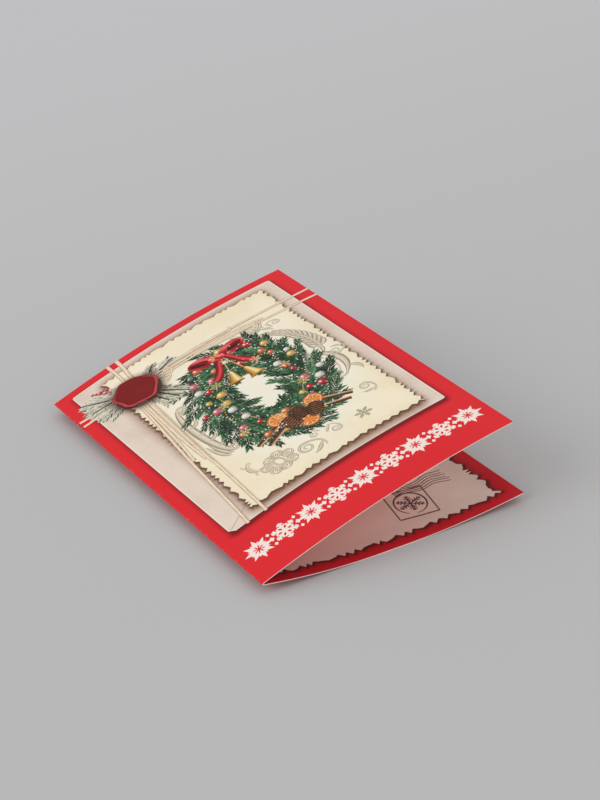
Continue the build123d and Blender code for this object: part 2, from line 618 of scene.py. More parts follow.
# %% Outside print: the painted shadows of the cords and the seal
CORD_SHADOW_SHIFT = (0.35, -0.5, 0)
moved = vector_calc("SUBTRACT", point, CORD_SHADOW_SHIFT)
for start, end, width in CORDS:
    distance = use_group(LINE, Point=moved, From=(*start, 0), To=(*end, 0))["Distance"]
    shade = use_group(SHADOW, Distance=distance, Reach=1.6, Strength=0.5)["Shade"]
    colour = mix(shade, colour, mix(mat_cover, SHADOW_ON_RED, SHADOW_ON_PAPER))
seal_place = vector_calc("SUBTRACT", point, (SEAL_CENTRE.x - 0.1, SEAL_CENTRE.y - 1.4, 0))
from_seal = minus(vector_calc("LENGTH", seal_place), SEAL_RADIUS)
seal_shade = use_group(SHADOW, Distance=from_seal, Reach=5.6, Strength=0.97)["Shade"]
colour = mix(seal_shade, colour, mix(mat_cover, SHADOW_ON_RED, srgb(60, 28, 18)))
feed(colour_socket, colour)
print("outside print:", len(outside_print.node_tree.nodes), "nodes")

# %% [markdown]
# The inside of the sheet has a darker red, with one wide deckled paper across both pages. The photographed
# card shows only its lower corner, so the rest runs on plainly. The paper is printed over a dark shadow,
# and
# it is painted rosier near the fold: painted reflected light, where the two red pages light each other. The
# sheet's cut edges get a third material: raw fibres without varnish.

# %% Inside print
SPREAD_CENTRE, SPREAD_HALF, SPREAD_CORNER = (0.0, 91.0, 0), (110.9, 83.9, 1), 0.4
INSIDE_DECKLE = {"pitch": 5.4, "depth": 2.4}
SPREAD_LIGHT, SPREAD_DARK = srgb(252, 231, 218), srgb(243, 219, 206)
inside_print, point, colour_socket = printed_material("inside_print", gloss=0.55)
red_ground = mix(noise(point, 0.02, 2.0), INSIDE_RED, srgb(198, 10, 28))
wide_shadow = shadow_mask(
    point, SPREAD_CENTRE, SPREAD_HALF, corner=2.0, shift=(0, 0), reach=9.0, strength=0.35
)
red_ground = mix(wide_shadow, red_ground, SHADOW_ON_RED)
spread_shadow = shadow_mask(
    point, SPREAD_CENTRE, SPREAD_HALF, SPREAD_CORNER,
    shift=(-0.3, -0.8), reach=2.6, strength=1.0, **INSIDE_DECKLE,
)
colour = mix(spread_shadow, red_ground, SHADOW_ON_RED)
spread = panel_distances(point, SPREAD_CENTRE, SPREAD_HALF, SPREAD_CORNER, **INSIDE_DECKLE)
spread_cover = inside_of(spread["Distance"])
spread_paper = use_group(PAPER, Point=point, Light=SPREAD_LIGHT, Dark=SPREAD_DARK, Amount=1.0)["Color"]
from_fold = calc("ABSOLUTE", parts_of(point)[0])
# Painted reflected light: the paper pinker towards the fold, where the red pages light each other.
painted_bounce = times(fade_between(from_fold, 30.0, 112.0), 0.85)
spread_paper = mix(painted_bounce, spread_paper, srgb(255, 208, 198))
# Painted shade: the paper darker towards its edges.
edge_darkening = times(step_between(spread["Plain"], -14.0, 2.0), 0.2)
spread_paper = mix(edge_darkening, spread_paper, SHADOW_ON_PAPER)
rim = times(step_between(spread["Distance"], -0.3, 0.0), 0.5)
spread_paper = mix(rim, spread_paper, SHADOW_ON_PAPER)
feed(colour_socket, mix(spread_cover, colour, spread_paper))
print("inside print:", len(inside_print.node_tree.nodes), "nodes")

# %% Cut paper edges
cut_edge, shader = new_material("cut_edge")
fibres = noise(attribute(cut_edge.node_tree, "page"), 3.0, 3.0)
feed(shader["Base Color"], mix(fibres, CUT_PAPER, srgb(240, 222, 216)))
shader["Roughness"].default_value = 0.85
for material in (outside_print, inside_print, cut_edge):
    card_sheet.data.materials.append(material)
print("sheet materials:", [m.name for m in card_sheet.data.materials])

# %% [markdown]
# The small ornaments are thin plates of ink. On the real card they are part of one flat print. An image
# could carry them, but drawn shapes stay sharp at any distance and can be moved or swapped one by one.
# Each is drawn flat in page millimetres with bmesh shapes, then pressed on the card by the same fold as the
# sheet, and a Solidify modifier gives it a body that is sunk into the paper. Two vertex attributes travel
# with it: page, its place on the page, and own, its place within its own shape, with its shade as the
# third number. The heights are in millimetres over the face, and an ink that covers another lies higher.

# %% Plates of ink
INK_BODY = 0.16 * MM
SLIGHTLY = 0.005


def new_plate():
    plate = bmesh.new()
    page_layer(plate)
    plate.verts.layers.float_vector.new("own")
    return plate


def set_own(plate, verts, place):
    own = plate.verts.layers.float_vector["own"]
    for vert in verts:
        vert[own] = place(vert.co)


def set_ink(verts, ink):
    for face in {face for vert in verts for face in vert.link_faces}:
        face.material_index = ink


def add_disc(plate, centre, radii, height, shade=0.5, sides=20, turn=0.0, ink=0):
    """An ellipse. With four sides it is a lozenge with its tips on its axes."""
    made = bmesh.ops.create_circle(plate, cap_ends=True, segments=sides, radius=1.0)["verts"]
    set_own(plate, made, lambda co: Vector((co.x, co.y, shade)))
    place = Matrix.Translation((*centre, height)) @ Matrix.Rotation(turn, 4, "Z")
    bmesh.ops.transform(plate, matrix=place @ Matrix.Diagonal((*radii, 1, 1)), verts=made)
    set_ink(made, ink)
    return made


def add_ribbon(plate, path, width, height, shade=0.5, steps=12, ink=0):
    """A strip along path(t) that is width(t) wide, in millimetres, with t from 0 to 1."""
    made = bmesh.ops.create_grid(plate, x_segments=steps, y_segments=1, size=0.5)["verts"]
    set_own(plate, made, lambda co: Vector((co.x + 0.5, co.y * 2, shade)))
    for vert in made:
        t, side = vert.co.x + 0.5, math.copysign(1, vert.co.y)
        ahead = Vector(path(min(t + SLIGHTLY, 1.0))) - Vector(path(max(t - SLIGHTLY, 0.0)))
        normal = Vector((-ahead.y, ahead.x)).normalized()
        vert.co = (*(Vector(path(t)) + normal * side * width(t) / 2), height)
    set_ink(made, ink)


PLACED = bpy.data.meshes.new("placed_copy")


def add_copy(plate, template, place, turn=0.0, size=1.0, lift=0.0, shade=0.0, ink=0):
    """Adds a copy of a template to a plate, with a turn, a size and a shade of its own."""
    copy = bmesh.new()
    copy.from_mesh(template)
    where = Matrix.Translation((*place, lift)) @ Matrix.Rotation(turn, 4, "Z")
    bmesh.ops.transform(copy, matrix=where @ Matrix.Diagonal((size, size, 1, 1)), verts=copy.verts)
    own = copy.verts.layers.float_vector["own"]
    for vert in copy.verts:
        vert[own].z += shade
    set_ink(copy.verts, ink)
    copy.to_mesh(PLACED)
    copy.free()
    plate.from_mesh(PLACED)


def press(plate, name, materials, side=1):
    """Presses a plate on the outside (side 1) or the inside (side -1) of the card, as a new piece."""
    page = page_layer(plate)
    for vert in plate.verts:
        u, v, height = vert.co
        vert[page] = (u, v, 0)
        vert.co = fold_sheet(u * MM, BOTTOM + v * MM, side * (FACE + height * MM))
    for face in plate.faces:
        face.smooth = False
    if side < 0:
        bmesh.ops.reverse_faces(plate, faces=plate.faces)
    mesh = as_mesh(plate, name)
    piece = put_in_scene(name, mesh)
    for material in materials:
        mesh.materials.append(material)
    body = piece.modifiers.new("body", "SOLIDIFY")
    body.thickness = INK_BODY
    body.offset = -1
    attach(piece, "root")
    print(f"{name}: {len(mesh.polygons)} faces")


# %% Paths to draw along
SPIRAL_LEFT = 0.16


def on_circle(degrees, radius=1.0):
    return polar(math.radians(degrees), radius)


def straight(start, end):
    return lambda t: Vector(start).lerp(Vector(end), t)


def bent(start, lead_out, lead_in, end):
    """A cubic curve from start to end with two control points."""
    points = [Vector(p) for p in (start, lead_out, lead_in, end)]

    def path(t):
        weights = ((1 - t) ** 3, 3 * t * (1 - t) ** 2, 3 * t * t * (1 - t), t**3)
        return sum((point * weight for point, weight in zip(points, weights)), Vector((0, 0)))
    return path


def spiral(centre, reach, start, turns):
    """A line that winds in to its centre, where a small share of its reach is left."""
    def path(t):
        return Vector(centre) + on_circle(start + 360 * turns * t, reach * (1 - (1 - SPIRAL_LEFT) * t))
    return path


def constant(width):
    return lambda t: width


def leaf_width(widest, tip=0.05):
    return lambda t: tip + widest * math.sin(math.pi * t) ** 0.8


def taper(first, last):
    return lambda t: first + (last - first) * t


# %% [markdown]
# Scrollwork comes first, because everything else is printed over it. It is an old penman's ornament in
# grey-brown lines with a paler fill: a plume, C shapes that end in spirals, a tall leafy bow, a petalled
# oval, a shell and small curls. A curve object with a bevel could draw the strokes too, but a ribbon also
# carries the place across its width, and the ink needs that for its outline. Each motif is a few ribbons
# in millimetres of its own, and a short list puts them on the panel.

# %% Scrollwork motifs
def plume():
    """A feathered leaf along +X that curls up at its end."""
    rib = bent((0, 0), (10, -1.5), (22, 1), (28, 10))
    yield rib, taper(1.5, 0.8), 20
    yield spiral((24.7, 11.2), 3.4, -20, 1.4), taper(0.9, 0.4), 24
    for index in range(10):
        start = rib(0.03 + 0.085 * index)
        ahead = (rib(0.08 + 0.085 * index) - start).normalized()
        length = 4.8 - 0.26 * index
        for side in (-1, 1):
            out = Vector((-ahead.y, ahead.x)) * side * length
            tip = start + ahead * length + out * 0.62
            barb = bent(start, start + out * 0.5, tip - ahead * length * 0.5, tip)
            yield barb, leaf_width(2.3 - 0.12 * index), 8


def c_scroll():
    """A C that opens towards +X, 24 high, with spirals at both ends and two leaves on its back."""
    yield bent((0, 0), (-7.4, 6), (-7.4, 18), (0, 24)), leaf_width(2.6, 0.7), 24
    yield bent((1.6, 2.4), (-3.2, 7.5), (-3.2, 16.5), (1.6, 21.6)), constant(0.45), 20
    for end, hand in ((0, 1), (24, -1)):
        yield spiral((2.6, end + hand * 1.4), 3.0, 208 * hand, hand * 1.3), taper(1.0, 0.45), 24
        foot, tip = (-3, end + hand * 4), (-5.6, end - hand * 4)
        yield bent(foot, (-6, end + hand * 2), (-7, end - hand), tip), leaf_width(1.6), 10


def acanthus():
    """A tall leafy bow, drawn at its place, with spirals at its ends and lobes along its hollow side."""
    back = bent((37.2, 78.6), (30.0, 76.5), (27.4, 118.5), (32.4, 124.6))
    for shift in (3.3, 1.8):
        def beside(t, shift=shift):
            return back(0.06 + 0.34 * t) - Vector((shift, shift / 2))
        yield beside, leaf_width(1.5, 0.2), 12
    yield back, leaf_width(2.9, 0.5), 30
    for share in (0.2, 0.31, 0.42, 0.53, 0.64, 0.75, 0.86):
        start = back(share)
        tip = start + Vector((4.4, 3.8))
        lobe = bent(start, start + Vector((2.6, -0.8)), tip + Vector((-0.2, -2.4)), tip)
        yield lobe, leaf_width(1.8), 8
    yield spiral((33.8, 122.3), 2.7, 120, -1.3), taper(1.2, 0.45), 24
    yield spiral((36.2, 80.6), 2.4, -60, 1.3), taper(1.1, 0.45), 24


def petalled_oval():
    """An oval in a ring of open petals, with a leaf in each of them."""
    yield (lambda t: on_circle(360 * t) * Vector((2.0, 2.9))), constant(0.9), 24
    for petal in range(7):
        ahead = on_circle(51.4 * petal)
        aside = Vector((-ahead.y, ahead.x))
        foot, tip = ahead * 3.4, ahead * (8.2 - 0.6 * (petal % 3))
        for hand in (-1, 1):
            side = bent(foot, foot + aside * hand * 3, tip + aside * hand * 2.4, tip)
            yield side, leaf_width(0.9, 0.4), 12
        yield straight(foot + ahead * 0.6, tip - ahead * 1.2), leaf_width(1.4), 6


def shell():
    """Ribs that fan out under a band."""
    yield bent((-8, 2), (-5, -8), (5, -8), (8, 2)), leaf_width(1.3, 0.6), 20
    yield bent((-6.4, 2), (-4, -5.4), (4, -5.4), (6.4, 2)), constant(0.45), 16
    for rib in range(5):
        yield straight((0, 2.4), on_circle(214 + 28 * rib, 4.6)), taper(0.3, 1.0), 4


def curl():
    """A single spiral with a leaf."""
    yield bent((7, 3), (5, 6), (0, 6), (-2.9, 1.2)), taper(0.5, 1.1), 14
    yield spiral((0, 0), 3.2, 158, 1.5), taper(1.1, 0.4), 28
    yield bent((4, 4.6), (5, 2), (6, 0), (5, -2.4)), leaf_width(1.5), 8


# %% Scrollwork on the panel
SCROLL_HEIGHT, STROKE_STEP = 0.012, 0.0001
STROKE_GAIN, THINNEST_STROKE = 1.15, 0.35
# Each motif with the place of its origin, its turn in degrees, its size, and which hand it has
SCROLLS = (
    (plume, (97.0, 110.5), 94, 1.1, 1),
    (shell, (82.0, 149.0), 8, 1.0, 1),
    (curl, (85.5, 138.5), 40, 0.9, 1),
    (curl, (93.8, 144.0), 200, 0.6, -1),
    (curl, (75.2, 144.6), 80, 0.5, 1),
    (c_scroll, (90.5, 108.0), 188, 1.0, 1),
    (curl, (99.2, 102.0), 70, 0.75, -1),
    (curl, (93.0, 69.0), 250, 0.8, 1),
    (acanthus, (0, 0), 0, 1.0, 1),
    (petalled_oval, (42.6, 55.4), 20, 0.96, 1),
    (curl, (54.6, 53.0), -60, 1.1, 1),
    (c_scroll, (34.5, 57.0), 14, 0.36, 1),
    (curl, (69.4, 54.0), 150, 0.7, -1),
    (curl, (61.0, 57.6), 30, 0.5, 1),
)


def stroke_on_panel(path, width, origin, degrees, size, hand):
    """A motif's stroke at its place on the panel: its path and its width there."""
    turn = Matrix.Rotation(math.radians(degrees), 2)

    def placed(t):
        return Vector(origin) + turn @ (Vector(path(t)) * Vector((1, hand))) * size

    def sized(t):
        return max(width(t) * size * STROKE_GAIN, THINNEST_STROKE)
    return placed, sized


scrolls = new_plate()
layer = 0
for motif, *setting in SCROLLS:
    for path, width, steps in motif():
        layer += 1
        placed, sized = stroke_on_panel(path, width, *setting)
        add_ribbon(scrolls, placed, sized, SCROLL_HEIGHT + STROKE_STEP * layer, steps=steps)
print("scrolls:", layer, "strokes")

scroll_print, point, colour_socket = printed_material("scroll_print")
across = own_parts(point)[1]
outline = step_between(calc("ABSOLUTE", across), 0.3, 0.75)
faded = times(outline, plus(noise(point, 0.2, 2.0), 0.5))
rounded = step_between(across, -0.9, 0.9)
fill = mix(rounded, srgb(240, 231, 208), srgb(206, 192, 167))
feed(colour_socket, mix(faded, fill, srgb(162, 144, 122)))
press(scrolls, "scrollwork", [scroll_print])

# %% [markdown]
# Cords. Each is a pale flat strand of fibres, between one and two millimetres wide, and near the seal
# several lie side by side. On paper they are only ink: fine streaks along the strand, and two dark sides.
# The seal's painted shadow falls on them too, so it is a helper that any ink can use.

# %% Cords
CORD_HEIGHT, CORD_STEP = 0.06, 0.001
STRAND_LIFT, FINE_STRAND_LIFT = 0.01, 0.06
FINE_STRAND = 1.1


def under_seal(point, colour, reach, strength):
    """The colour, darkened beside the seal and most below it."""
    place = vector_calc("SUBTRACT", point, (SEAL_CENTRE.x - 0.1, SEAL_CENTRE.y - 1.6, 0))
    from_seal = minus(vector_calc("LENGTH", place), SEAL_RADIUS)
    shade = use_group(SHADOW, Distance=from_seal, Reach=reach, Strength=strength)["Shade"]
    return mix(shade, colour, srgb(58, 26, 16))


def twine_material():
    material, point, colour_socket = printed_material("twine_print")
    _, across, shade = own_parts(point)
    x, y, _ = parts_of(point)
    uneven = times(noise(point, 0.4, 2.0), 9.0)
    twist = calc("SINE", plus(times(plus(x, y), 2.3), uneven))
    fibre_place = joined(times(plus(x, y), 0.12), across, shade)
    fibres = minus(noise(fibre_place, 2.2, 3.0), 0.5)
    roundness = calc("POWER", calc("ABSOLUTE", across), 3.0)
    light = minus(plus(0.86, times(twist, 0.05)), roundness)
    light = plus(light, times(fibres, 1.0))
    colour = ramp(
        light,
        (0.05, 164, 130, 102), (0.4, 212, 182, 150), (0.75, 238, 217, 188), (1.0, 250, 235, 214),
    )
    mat_distance = panel_distances(point, MAT_CENTRE, MAT_HALF, MAT_CORNER)["Distance"]
    on_red = times(step_between(mat_distance, -0.5, 0.5), 0.5)
    colour = mix(on_red, colour, srgb(255, 206, 192))
    feed(colour_socket, under_seal(point, colour, 5.6, 0.92))
    return material


cords = new_plate()
for index, (start, end, width) in enumerate(CORDS):
    start, end = Vector(start), Vector(end)
    side = (end - start).orthogonal().normalized()
    slack = 0.25 + 0.05 * index

    def strand(t, start=start, end=end, side=side, slack=slack, index=index):
        return start.lerp(end, t) + side * slack * math.sin(math.pi * t) * math.sin(5 * t + index)

    steps = max(12, int((end - start).length))
    height = CORD_HEIGHT + CORD_STEP * index
    add_ribbon(cords, strand, constant(width), height, shade=0.1 * index, steps=steps)
LOOSE_STRANDS = (
    (bent((25.6, 152), (24.0, 128), (23.0, 108), (20.2, 88)), 1.4),
    (bent((26.6, 152), (24.9, 126), (23.4, 104), (24.4, 84)), 1.5),
    (bent((27.6, 152), (26.8, 124), (25.6, 106), (25.0, 80)), 1.3),
    (bent((30, 155.6), (50, 158.4), (66, 157.4), (84, 156.2)), 1.5),
    (bent((31, 154.6), (50, 154.0), (70, 155.8), (92, 151.4)), 1.4),
    (bent((31, 153.4), (52, 151.6), (66, 153.6), (86, 150.4)), 1.3),
    (bent((52, 156.6), (70, 155.6), (80, 153), (78, 158.4)), 0.9),
    (bent((38, 155.5), (45.5, 158.5), (48.5, 152.5), (43.5, 150.4)), 1.0),
    (bent((43.5, 150.4), (38.5, 149.4), (41, 155.4), (46.6, 157.2)), 1.0),
    (bent((36, 151.5), (42, 153), (46.6, 149.5), (40.4, 147.2)), 0.9),
)
for index, (path, width) in enumerate(LOOSE_STRANDS):
    lift = STRAND_LIFT if width > FINE_STRAND else FINE_STRAND_LIFT
    height = CORD_HEIGHT + lift + CORD_STEP * index
    add_ribbon(cords, path, constant(width), height, shade=0.3 * index, steps=48)
press(cords, "twine_cords", [twine_material()])

# %% [markdown]
# Fir twigs. One twig is a stem with two rows of needles. A particle system could scatter needles, but a
# printed twig has a plain, flat order, so it is drawn once in a few variants and then copied with a turn,
# a size and a shade of its own. That keeps a rich green mass down to a few lines.

# %% Twig templates
def twig_template(name, seed, length, needle, pairs, spread, thick, untidy=9):
    """A twig along +X from the origin, as a mesh. Its needles stray by up to this many degrees."""
    dice = random.Random(seed)
    plate = new_plate()
    add_ribbon(plate, straight((0, 0), (length, 0)), taper(0.6, 0.3), 0.0, shade=0.1, steps=3)
    for index in range(pairs):
        t = (index + dice.random() * 0.6) / pairs
        for side in (-1, 1):
            turn = side * (spread * (1.05 - 0.45 * t) + dice.uniform(-untidy, untidy))
            size = needle * (1.0 - 0.35 * t) * dice.uniform(0.8, 1.15)
            centre = Vector((length * t, 0)) + on_circle(turn, size / 2)
            height = 0.004 + 0.012 * dice.random()
            shade = 0.35 + 0.3 * t + dice.uniform(-0.18, 0.22)
            radii = (size / 2, thick * dice.uniform(0.8, 1.2))
            add_disc(plate, centre, radii, height, shade, sides=4, turn=math.radians(turn))
    return as_mesh(plate, name)


GREEN_TWIGS = [twig_template(f"green_twig_{i}", 11 + i, 11.0, 4.6, 15, 44, 0.38) for i in range(5)]
FROSTED_TWIGS = [twig_template(f"frosted_twig_{i}", 41 + i, 19.0, 5.2, 26, 24, 0.3, 17) for i in range(3)]
print("twigs:", [len(mesh.polygons) for mesh in GREEN_TWIGS + FROSTED_TWIGS], "faces")


def needle_material(name, *stops, by_seal=False):
    """Needle ink: a colour by shade, a little uneven. Beside the seal it lies in its shadow."""
    material, point, colour_socket = printed_material(name)
    along, _, shade = own_parts(point)
    tip = times(along, 0.14)
    wash = times(minus(noise(point, 0.35, 2.0), 0.5), 0.35)
    colour = ramp(plus(plus(shade, tip), wash), *stops)
    feed(colour_socket, under_seal(point, colour, 6.6, 0.95) if by_seal else colour)
    return material


# %% [markdown]
# The wreath is an oval of twigs in lanes, all laid the same way round as a real one is bound. The outer
# lanes lean outwards and the inner ones inwards. Later, upper twigs are lighter, which gives the mass its
# depth without any real height.

# %% Wreath
def on_wreath(degrees, scale=1.0):
    return WREATH_CENTRE + on_circle(degrees) * WREATH_RADII * scale


dice = random.Random(7)
wreath = new_plate()
# Each lane's size of the oval, its twigs' lean in degrees, and their height
LANES = (
    (1.24, -40, 0.016), (0.74, 40, 0.020), (1.0, 0, 0.024),
    (1.13, -30, 0.030), (0.88, 28, 0.034), (1.0, -8, 0.040),
)
TWIGS_IN_LANE = 34
for lane, (scale, lean, lift) in enumerate(LANES):
    for index in range(TWIGS_IN_LANE):
        degrees = 360 * (index + dice.uniform(-0.3, 0.3)) / TWIGS_IN_LANE
        ahead = on_circle(degrees + 90) * WREATH_RADII
        turn = math.atan2(ahead.y, ahead.x) + math.radians(lean + dice.uniform(-16, 16))
        shade = -0.24 + 0.05 * lane + dice.uniform(-0.12, 0.12)
        place = on_wreath(degrees, scale * dice.uniform(0.96, 1.04)) - ahead.normalized() * 4
        add_copy(wreath, dice.choice(GREEN_TWIGS), place, turn, dice.uniform(0.75, 1.1), lift, shade)
evergreen = needle_material(
    "evergreen_print",
    (0.0, 16, 30, 20), (0.28, 30, 56, 38), (0.5, 54, 98, 62),
    (0.75, 98, 140, 98), (1.0, 158, 188, 144),
)
press(wreath, "wreath_needles", [evergreen])

# %% [markdown]
# Baubles hang all over the wreath, with two strings of beads between them. Each is a flat disc of ink that
# is shaded like a ball: a highlight up on the left, a dark edge, and a faint bounce of light low on the
# right. Real spheres would stand off the card. One material serves them all, because a ball's shade picks
# its colour.

# %% Painted balls
# Each colour's shade, and the colour
BAUBLE_COLOURS = {
    "crimson": (0.1, 196, 40, 48),
    "rose": (0.3, 206, 116, 120),
    "gold": (0.5, 226, 182, 88),
    "pearl": (0.7, 232, 224, 214),
    "copper": (0.9, 208, 116, 62),
}
HALF_COLOUR_STEP = 0.1


def ball_material():
    material, point, colour_socket = printed_material("ball_print")
    across, upward, shade = own_parts(point)
    stops = [(place - HALF_COLOUR_STEP, *colour) for place, *colour in BAUBLE_COLOURS.values()]
    base = ramp(shade, *stops, hard=True)
    flat = joined(across, upward)
    dark = step_between(vector_calc("DISTANCE", flat, (-0.3, 0.35, 0)), 0.35, 1.5)
    colour = mix(times(dark, 0.85), base, mix(1.0, base, srgb(70, 40, 60), "MULTIPLY"))
    bounce = step_between(vector_calc("DISTANCE", flat, (0.5, -0.55, 0)), 0.42, 0.1)
    colour = mix(times(bounce, 0.3), colour, CREAM_LIGHT)
    shine = step_between(vector_calc("DISTANCE", flat, (-0.36, 0.4, 0)), 0.4, 0.08)
    feed(colour_socket, mix(times(shine, 0.9), colour, srgb(255, 250, 244)))
    return material


BAUBLES, BEADS_IN_ROW = 46, 110
BAUBLE_SPACING = 4.4
BAUBLE_HEIGHT, BAUBLE_STEP, BEAD_HEIGHT = 0.07, 0.0003, 0.066
BEAD_RADII = (0.42, 0.42)
baubles = new_plate()
hung = []
while len(hung) < BAUBLES:
    place = on_wreath(dice.uniform(0, 360), dice.uniform(0.72, 1.3))
    if all((place - other).length > BAUBLE_SPACING for other in hung):
        hung.append(place)
        colour = dice.choice(list(BAUBLE_COLOURS.values()))[0]
        size = dice.uniform(1.4, 2.5)
        add_disc(baubles, place, (size, size), BAUBLE_HEIGHT + BAUBLE_STEP * len(hung), colour, sides=20)
for row, (scale, wave) in enumerate(((1.12, 0.12), (0.88, -0.1))):
    for index in range(BEADS_IN_ROW):
        degrees = 360 * index / BEADS_IN_ROW
        place = on_wreath(degrees, scale + wave * math.sin(math.radians(degrees) * 7))
        colour = BAUBLE_COLOURS["gold" if row else "pearl"][0]
        add_disc(baubles, place, BEAD_RADII, BEAD_HEIGHT, colour, sides=8)
ball_print = ball_material()
press(baubles, "wreath_baubles", [ball_print])

# %% [markdown]
# Cones, cinnamon and dried orange lie at the foot of the wreath. A cone is rows of overlapping scales, a
# cinnamon stick is a strip with a dark line where the bark rolls in, and a slice of orange has spokes. The
# scales are separate discs, because their overlap is what reads as a cone. The spokes are only ink: a sine
# of the angle round the slice.

# %% Cones, cinnamon and orange
def cone_template():
    """A cone with its tip down, in overlapping rows of scales."""
    plate = new_plate()
    add_disc(plate, (0, 0), (3.6, 5.4), 0.0, 0.1, sides=24)
    rows = 7
    for row in range(rows):
        t = row / (rows - 1)
        half = 3.3 * math.sin(math.pi * (0.24 + 0.68 * t)) ** 0.7
        count = max(2, round(half * 1.45))
        for index in range(count):
            x = (index - (count - 1) / 2) * 2 * half / count
            shade = 0.5 - 0.12 * abs(x) / half + 0.1 * (index % 2)
            add_disc(plate, (x, 4.2 - 8.2 * t), (1.12, 0.95), 0.003 + 0.002 * row, shade, sides=10)
    return as_mesh(plate, "cone")


def wood_material():
    material, point, colour_socket = printed_material("wood_print")
    _, across, shade = own_parts(point)
    light = minus(shade, times(across, 0.42))
    light = plus(light, times(minus(noise(point, 1.2, 3.0), 0.5), 0.3))
    feed(colour_socket, ramp(
        light, (0.0, 32, 18, 14), (0.35, 74, 44, 30), (0.65, 140, 90, 56), (0.95, 226, 190, 142)
    ))
    return material


def slice_material():
    material, point, colour_socket = printed_material("orange_print")
    across, upward, _ = own_parts(point)
    radius = vector_calc("LENGTH", joined(across, upward))
    angle = calc("ARCTAN2", upward, across)
    spoke = calc("ABSOLUTE", calc("SINE", times(angle, 4.0)))
    flesh = mix(step_between(spoke, 0.12, 0.4), srgb(246, 208, 140), srgb(224, 120, 40))
    ring = ramp(radius, (0.0, 246, 214, 150), (0.76, 246, 220, 164), (0.86, 206, 98, 34))
    feed(colour_socket, mix(step_between(radius, 0.7, 0.76), flesh, ring))
    return material


CONE = cone_template()
WOOD, ORANGE = 0, 1
STICK_HEIGHT, STICK_LINE_HEIGHT, STICK_STEP = 0.076, 0.079, 0.002
SLICE_HEIGHT, SLICE_STEP = 0.088, 0.001
CONE_HEIGHT, CONE_STEP = 0.092, 0.02
foot = new_plate()
CINNAMON = ((50, 74, 20), (53, 71, 26), (77, 70, 158), (80, 74, 150))
for index, (x, y, degrees) in enumerate(CINNAMON):
    half = on_circle(degrees, 8.5)
    path = straight(Vector((x, y)) - half, Vector((x, y)) + half)
    step = STICK_STEP * index
    add_ribbon(foot, path, constant(2.3), STICK_HEIGHT + step, shade=0.62, steps=4, ink=WOOD)
    add_ribbon(foot, path, constant(0.35), STICK_LINE_HEIGHT + step, shade=0.1, steps=4, ink=WOOD)
SLICES = ((56.5, 79.5, 4.6), (73.5, 79.0, 4.4), (65.5, 68.0, 4.3))
for index, (x, y, radius) in enumerate(SLICES):
    height = SLICE_HEIGHT + SLICE_STEP * index
    add_disc(foot, (x, y), (radius, radius), height, sides=32, turn=0.3 * index, ink=ORANGE)
CONES = ((59.5, 72.5, 24), (71.0, 72.5, -28), (65.0, 76.5, 178))
for index, (x, y, degrees) in enumerate(CONES):
    height = CONE_HEIGHT + CONE_STEP * index
    add_copy(foot, CONE, (x, y), math.radians(degrees), 1.0, height, -0.05 * index)
press(foot, "cones_and_spice", [wood_material(), slice_material()])

# %% [markdown]
# A red satin bow ties the wreath at its top, with two gilt bells on cords under it. Satin is a soft band
# of light across each loop and tail, so its ink is a sine of the place along and across the shape. Gilt
# darkens to both sides of one bright line. A bell is a ribbon whose width is the bell's own outline.

# %% Inks for satin and gilt
def satin_material():
    material, point, colour_socket = printed_material("satin_print")
    along, across, shade = own_parts(point)
    sheen = calc("SINE", plus(times(across, 3.2), times(along, 2.0)))
    light = plus(shade, times(sheen, 0.26))
    feed(colour_socket, ramp(
        light, (0.0, 72, 6, 14), (0.35, 140, 18, 28), (0.65, 206, 44, 52), (1.0, 244, 130, 128)
    ))
    return material


def gilt_material():
    material, point, colour_socket = printed_material("gilt_print")
    _, across, shade = own_parts(point)
    light = minus(shade, times(calc("ABSOLUTE", plus(across, -0.35)), 0.5))
    feed(colour_socket, ramp(
        light, (0.0, 84, 52, 20), (0.35, 168, 116, 44), (0.65, 232, 190, 96), (0.9, 255, 244, 200)
    ))
    return material


# %% Bow and bells
BOW_CENTRE = Vector((64.0, 141.5))
SATIN, GILT = 0, 1
BELL_CORD_HEIGHT, TAIL_HEIGHT, CLAPPER_HEIGHT, BELL_HEIGHT = 0.078, 0.082, 0.084, 0.09
LOOP_HEIGHT, HOLLOW_HEIGHT, BELL_RIM_HEIGHT, KNOT_HEIGHT = 0.092, 0.096, 0.096, 0.104


def bell_width(t):
    return 1.6 + 4.4 * t**0.5 * (0.55 + 0.45 * t) + 1.6 * t**8


